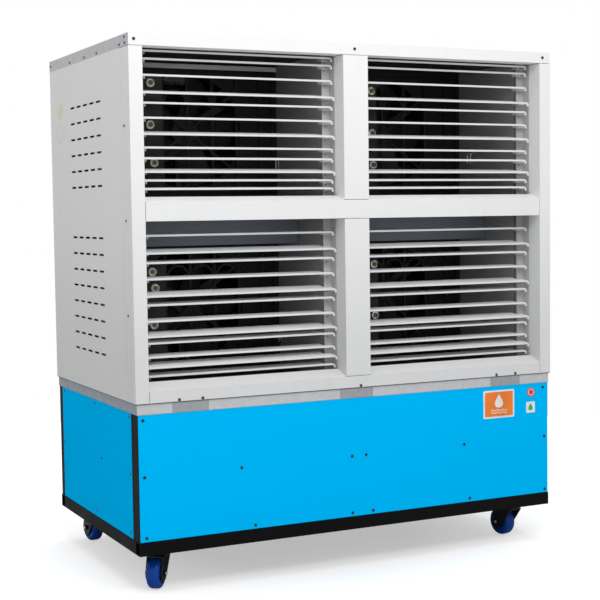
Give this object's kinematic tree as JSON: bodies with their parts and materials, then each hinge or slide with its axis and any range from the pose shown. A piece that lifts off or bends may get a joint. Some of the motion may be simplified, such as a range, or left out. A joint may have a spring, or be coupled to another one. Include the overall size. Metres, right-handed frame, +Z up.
{
  "type": "evaporative cooler",
  "caption": "Mobile evaporative cooler: tall cabinet with tilting outlet louvres in front of fans, wet pads behind, on a water-tank base with swivel casters.",
  "frame": {"origin": "on the floor under the middle of the cabinet, at the bottom centre of the bounding box", "axes": "+Z up, -Y out of the louvred front, +X to the right seen from the front"},
  "size_m": [1.5932, 0.8832, 1.768],
  "materials": {
    "white_paint": "satin powder coat",
    "louvre_paint": "satin powder coat",
    "channel_paint": "satin powder coat",
    "galvanised_steel": "bare galvanised sheet",
    "inner_steel": "dull grey sheet",
    "guard_plastic": "moulded, matt",
    "fan_plastic": "moulded, matt",
    "motor_paint": "semi-gloss",
    "pad_media": "fluted cellulose",
    "pad_frame_paint": "satin powder coat",
    "pipe_plastic": "smooth pipe",
    "tank_plastic": "moulded, matt",
    "float_plastic": "smooth",
    "black_paint": "semi-gloss",
    "blue_paint": "gloss powder coat",
    "black_zinc": "black zinc plated",
    "fork_steel": "gloss black",
    "wheel_plastic": "polyurethane, glossy"
  },
  "bodies": {
    "cabinet": {"base_frame": "black_paint", "base_panels": "blue_paint", "bay_liner": "inner_steel", "caster_plates": "black_zinc", "control_box": "tank_plastic", "cooling_pads": "pad_media", "fan_deck": "inner_steel", "fan_guards": "guard_plastic", "fan_motors": "motor_paint", "fasteners": "black_zinc", "front_frame": "white_paint", "louvre_channels": "channel_paint", "rear_pad_frames": "pad_frame_paint", "roof_pan": "galvanised_steel", "seam_band": "galvanised_steel", "side_panel_left": "white_paint", "side_panel_right": "white_paint", "water_fittings": "pipe_plastic", "water_header": "pipe_plastic", "water_pump": "tank_plastic", "water_tank": "tank_plastic"},
    "louvre_upper_01": {"louvre_upper_01": "louvre_paint"},
    "louvre_upper_02": {"louvre_upper_02": "louvre_paint"},
    "louvre_upper_03": {"louvre_upper_03": "louvre_paint"},
    "louvre_upper_04": {"louvre_upper_04": "louvre_paint"},
    "louvre_upper_05": {"louvre_upper_05": "louvre_paint"},
    "louvre_upper_06": {"louvre_upper_06": "louvre_paint"},
    "louvre_upper_07": {"louvre_upper_07": "louvre_paint"},
    "louvre_upper_08": {"louvre_upper_08": "louvre_paint"},
    "louvre_upper_09": {"louvre_upper_09": "louvre_paint"},
    "louvre_upper_10": {"louvre_upper_10": "louvre_paint"},
    "louvre_upper_11": {"louvre_upper_11": "louvre_paint"},
    "louvre_upper_12": {"louvre_upper_12": "louvre_paint"},
    "link_bar_upper": {"link_bar_upper": "galvanised_steel"},
    "louvre_lower_01": {"louvre_lower_01": "louvre_paint"},
    "louvre_lower_02": {"louvre_lower_02": "louvre_paint"},
    "louvre_lower_03": {"louvre_lower_03": "louvre_paint"},
    "louvre_lower_04": {"louvre_lower_04": "louvre_paint"},
    "louvre_lower_05": {"louvre_lower_05": "louvre_paint"},
    "louvre_lower_06": {"louvre_lower_06": "louvre_paint"},
    "louvre_lower_07": {"louvre_lower_07": "louvre_paint"},
    "louvre_lower_08": {"louvre_lower_08": "louvre_paint"},
    "louvre_lower_09": {"louvre_lower_09": "louvre_paint"},
    "louvre_lower_10": {"louvre_lower_10": "louvre_paint"},
    "louvre_lower_11": {"louvre_lower_11": "louvre_paint"},
    "louvre_lower_12": {"louvre_lower_12": "louvre_paint"},
    "link_bar_lower": {"link_bar_lower": "galvanised_steel"},
    "fan_upper_left": {"fan_upper_left": "fan_plastic"},
    "fan_upper_right": {"fan_upper_right": "fan_plastic"},
    "fan_lower_left": {"fan_lower_left": "fan_plastic"},
    "fan_lower_right": {"fan_lower_right": "fan_plastic"},
    "caster_fork_front_left": {"caster_fork_front_left": "fork_steel"},
    "caster_wheel_front_left": {"caster_wheel_front_left": "wheel_plastic"},
    "caster_fork_front_right": {"caster_fork_front_right": "fork_steel"},
    "caster_wheel_front_right": {"caster_wheel_front_right": "wheel_plastic"},
    "caster_fork_rear_left": {"caster_fork_rear_left": "fork_steel"},
    "caster_wheel_rear_left": {"caster_wheel_rear_left": "wheel_plastic"},
    "caster_fork_rear_right": {"caster_fork_rear_right": "fork_steel"},
    "caster_wheel_rear_right": {"caster_wheel_rear_right": "wheel_plastic"},
    "float_arm": {"float_arm": "float_plastic"}
  },
  "joints": [
    {"name": "louvre_upper_01_tilt", "type": "hinge", "parent": "cabinet", "child": "louvre_upper_01", "pos_m": [0, -0.343, 1.717], "axis": [1, 0, 0], "range_deg": [-40, 40]},
    {"name": "louvre_upper_02_tilt", "type": "hinge", "parent": "cabinet", "child": "louvre_upper_02", "pos_m": [0, -0.343, 1.692], "axis": [1, 0, 0], "range_deg": [-40, 40]},
    {"name": "louvre_upper_03_tilt", "type": "hinge", "parent": "cabinet", "child": "louvre_upper_03", "pos_m": [0, -0.343, 1.641], "axis": [1, 0, 0], "range_deg": [-40, 40]},
    {"name": "louvre_upper_04_tilt", "type": "hinge", "parent": "cabinet", "child": "louvre_upper_04", "pos_m": [0, -0.343, 1.589], "axis": [1, 0, 0], "range_deg": [-40, 40]},
    {"name": "louvre_upper_05_tilt", "type": "hinge", "parent": "cabinet", "child": "louvre_upper_05", "pos_m": [0, -0.343, 1.554], "axis": [1, 0, 0], "range_deg": [-40, 40]},
    {"name": "louvre_upper_06_tilt", "type": "hinge", "parent": "cabinet", "child": "louvre_upper_06", "pos_m": [0, -0.343, 1.507], "axis": [1, 0, 0], "range_deg": [-40, 40]},
    {"name": "louvre_upper_07_tilt", "type": "hinge", "parent": "cabinet", "child": "louvre_upper_07", "pos_m": [0, -0.343, 1.459], "axis": [1, 0, 0], "range_deg": [-40, 40]},
    {"name": "louvre_upper_08_tilt", "type": "hinge", "parent": "cabinet", "child": "louvre_upper_08", "pos_m": [0, -0.343, 1.413], "axis": [1, 0, 0], "range_deg": [-40, 40]},
    {"name": "louvre_upper_09_tilt", "type": "hinge", "parent": "cabinet", "child": "louvre_upper_09", "pos_m": [0, -0.343, 1.379], "axis": [1, 0, 0], "range_deg": [-40, 40]},
    {"name": "louvre_upper_10_tilt", "type": "hinge", "parent": "cabinet", "child": "louvre_upper_10", "pos_m": [0, -0.343, 1.34], "axis": [1, 0, 0], "range_deg": [-40, 40]},
    {"name": "louvre_upper_11_tilt", "type": "hinge", "parent": "cabinet", "child": "louvre_upper_11", "pos_m": [0, -0.343, 1.309], "axis": [1, 0, 0], "range_deg": [-40, 40]},
    {"name": "louvre_upper_12_tilt", "type": "hinge", "parent": "cabinet", "child": "louvre_upper_12", "pos_m": [0, -0.343, 1.282], "axis": [1, 0, 0], "range_deg": [-40, 40]},
    {"name": "link_bar_upper_swing", "type": "hinge", "parent": "louvre_upper_01", "child": "link_bar_upper", "pos_m": [0.005, -0.323, 1.717], "axis": [1, 0, 0], "range_deg": [-40, 40]},
    {"name": "louvre_lower_01_tilt", "type": "hinge", "parent": "cabinet", "child": "louvre_lower_01", "pos_m": [0, -0.343, 1.134], "axis": [1, 0, 0], "range_deg": [-40, 40]},
    {"name": "louvre_lower_02_tilt", "type": "hinge", "parent": "cabinet", "child": "louvre_lower_02", "pos_m": [0, -0.343, 1.082], "axis": [1, 0, 0], "range_deg": [-40, 40]},
    {"name": "louvre_lower_03_tilt", "type": "hinge", "parent": "cabinet", "child": "louvre_lower_03", "pos_m": [0, -0.343, 1.047], "axis": [1, 0, 0], "range_deg": [-40, 40]},
    {"name": "louvre_lower_04_tilt", "type": "hinge", "parent": "cabinet", "child": "louvre_lower_04", "pos_m": [0, -0.343, 0.995], "axis": [1, 0, 0], "range_deg": [-40, 40]},
    {"name": "louvre_lower_05_tilt", "type": "hinge", "parent": "cabinet", "child": "louvre_lower_05", "pos_m": [0, -0.343, 0.945], "axis": [1, 0, 0], "range_deg": [-40, 40]},
    {"name": "louvre_lower_06_tilt", "type": "hinge", "parent": "cabinet", "child": "louvre_lower_06", "pos_m": [0, -0.343, 0.912], "axis": [1, 0, 0], "range_deg": [-40, 40]},
    {"name": "louvre_lower_07_tilt", "type": "hinge", "parent": "cabinet", "child": "louvre_lower_07", "pos_m": [0, -0.343, 0.86], "axis": [1, 0, 0], "range_deg": [-40, 40]},
    {"name": "louvre_lower_08_tilt", "type": "hinge", "parent": "cabinet", "child": "louvre_lower_08", "pos_m": [0, -0.343, 0.816], "axis": [1, 0, 0], "range_deg": [-40, 40]},
    {"name": "louvre_lower_09_tilt", "type": "hinge", "parent": "cabinet", "child": "louvre_lower_09", "pos_m": [0, -0.343, 0.79], "axis": [1, 0, 0], "range_deg": [-40, 40]},
    {"name": "louvre_lower_10_tilt", "type": "hinge", "parent": "cabinet", "child": "louvre_lower_10", "pos_m": [0, -0.343, 0.745], "axis": [1, 0, 0], "range_deg": [-40, 40]},
    {"name": "louvre_lower_11_tilt", "type": "hinge", "parent": "cabinet", "child": "louvre_lower_11", "pos_m": [0, -0.343, 0.717], "axis": [1, 0, 0], "range_deg": [-40, 40]},
    {"name": "louvre_lower_12_tilt", "type": "hinge", "parent": "cabinet", "child": "louvre_lower_12", "pos_m": [0, -0.343, 0.684], "axis": [1, 0, 0], "range_deg": [-40, 40]},
    {"name": "link_bar_lower_swing", "type": "hinge", "parent": "louvre_lower_01", "child": "link_bar_lower", "pos_m": [0.005, -0.323, 1.134], "axis": [1, 0, 0], "range_deg": [-40, 40]},
    {"name": "fan_upper_left_spin", "type": "hinge", "parent": "cabinet", "child": "fan_upper_left", "pos_m": [-0.398, 0.136, 1.5], "axis": [0, 1, 0], "continuous": true},
    {"name": "fan_upper_right_spin", "type": "hinge", "parent": "cabinet", "child": "fan_upper_right", "pos_m": [0.398, 0.136, 1.5], "axis": [0, 1, 0], "continuous": true},
    {"name": "fan_lower_left_spin", "type": "hinge", "parent": "cabinet", "child": "fan_lower_left", "pos_m": [-0.398, 0.136, 0.884], "axis": [0, 1, 0], "continuous": true},
    {"name": "fan_lower_right_spin", "type": "hinge", "parent": "cabinet", "child": "fan_lower_right", "pos_m": [0.398, 0.136, 0.884], "axis": [0, 1, 0], "continuous": true},
    {"name": "caster_fork_front_left_swivel", "type": "hinge", "parent": "cabinet", "child": "caster_fork_front_left", "pos_m": [-0.688, -0.331, 0.11], "axis": [0, 0, 1], "continuous": true},
    {"name": "caster_wheel_front_left_roll", "type": "hinge", "parent": "caster_fork_front_left", "child": "caster_wheel_front_left", "pos_m": [-0.71016, -0.35937, 0.05], "axis": [0.788, -0.6157, 0], "continuous": true},
    {"name": "caster_fork_front_right_swivel", "type": "hinge", "parent": "cabinet", "child": "caster_fork_front_right", "pos_m": [0.688, -0.331, 0.11], "axis": [0, 0, 1], "continuous": true},
    {"name": "caster_wheel_front_right_roll", "type": "hinge", "parent": "caster_fork_front_right", "child": "caster_wheel_front_right", "pos_m": [0.68299, -0.29535, 0.05], "axis": [-0.9903, -0.1392, 0], "continuous": true},
    {"name": "caster_fork_rear_left_swivel", "type": "hinge", "parent": "cabinet", "child": "caster_fork_rear_left", "pos_m": [-0.688, 0.331, 0.11], "axis": [0, 0, 1], "continuous": true},
    {"name": "caster_wheel_rear_left_roll", "type": "hinge", "parent": "caster_fork_rear_left", "child": "caster_wheel_rear_left", "pos_m": [-0.69301, 0.36665, 0.05], "axis": [-0.9903, -0.1392, 0], "continuous": true},
    {"name": "caster_fork_rear_right_swivel", "type": "hinge", "parent": "cabinet", "child": "caster_fork_rear_right", "pos_m": [0.688, 0.331, 0.11], "axis": [0, 0, 1], "continuous": true},
    {"name": "caster_wheel_rear_right_roll", "type": "hinge", "parent": "caster_fork_rear_right", "child": "caster_wheel_rear_right", "pos_m": [0.67, 0.36218, 0.05], "axis": [-0.866, -0.5, 0], "continuous": true},
    {"name": "float_arm_lift", "type": "hinge", "parent": "cabinet", "child": "float_arm", "pos_m": [0.532, 0.34, 0.468], "axis": [0, 1, 0], "range_deg": [0, 25]}
  ],
  "couplings": [
    {"joint": "louvre_upper_02_tilt", "follows": "louvre_upper_01_tilt", "ratio": 1},
    {"joint": "louvre_upper_03_tilt", "follows": "louvre_upper_01_tilt", "ratio": 1},
    {"joint": "louvre_upper_04_tilt", "follows": "louvre_upper_01_tilt", "ratio": 1},
    {"joint": "louvre_upper_05_tilt", "follows": "louvre_upper_01_tilt", "ratio": 1},
    {"joint": "louvre_upper_06_tilt", "follows": "louvre_upper_01_tilt", "ratio": 1},
    {"joint": "louvre_upper_07_tilt", "follows": "louvre_upper_01_tilt", "ratio": 1},
    {"joint": "louvre_upper_08_tilt", "follows": "louvre_upper_01_tilt", "ratio": 1},
    {"joint": "louvre_upper_09_tilt", "follows": "louvre_upper_01_tilt", "ratio": 1},
    {"joint": "louvre_upper_10_tilt", "follows": "louvre_upper_01_tilt", "ratio": 1},
    {"joint": "louvre_upper_11_tilt", "follows": "louvre_upper_01_tilt", "ratio": 1},
    {"joint": "louvre_upper_12_tilt", "follows": "louvre_upper_01_tilt", "ratio": 1},
    {"joint": "link_bar_upper_swing", "follows": "louvre_upper_01_tilt", "ratio": -1},
    {"joint": "louvre_lower_02_tilt", "follows": "louvre_lower_01_tilt", "ratio": 1},
    {"joint": "louvre_lower_03_tilt", "follows": "louvre_lower_01_tilt", "ratio": 1},
    {"joint": "louvre_lower_04_tilt", "follows": "louvre_lower_01_tilt", "ratio": 1},
    {"joint": "louvre_lower_05_tilt", "follows": "louvre_lower_01_tilt", "ratio": 1},
    {"joint": "louvre_lower_06_tilt", "follows": "louvre_lower_01_tilt", "ratio": 1},
    {"joint": "louvre_lower_07_tilt", "follows": "louvre_lower_01_tilt", "ratio": 1},
    {"joint": "louvre_lower_08_tilt", "follows": "louvre_lower_01_tilt", "ratio": 1},
    {"joint": "louvre_lower_09_tilt", "follows": "louvre_lower_01_tilt", "ratio": 1},
    {"joint": "louvre_lower_10_tilt", "follows": "louvre_lower_01_tilt", "ratio": 1},
    {"joint": "louvre_lower_11_tilt", "follows": "louvre_lower_01_tilt", "ratio": 1},
    {"joint": "louvre_lower_12_tilt", "follows": "louvre_lower_01_tilt", "ratio": 1},
    {"joint": "link_bar_lower_swing", "follows": "louvre_lower_01_tilt", "ratio": -1}
  ]
}
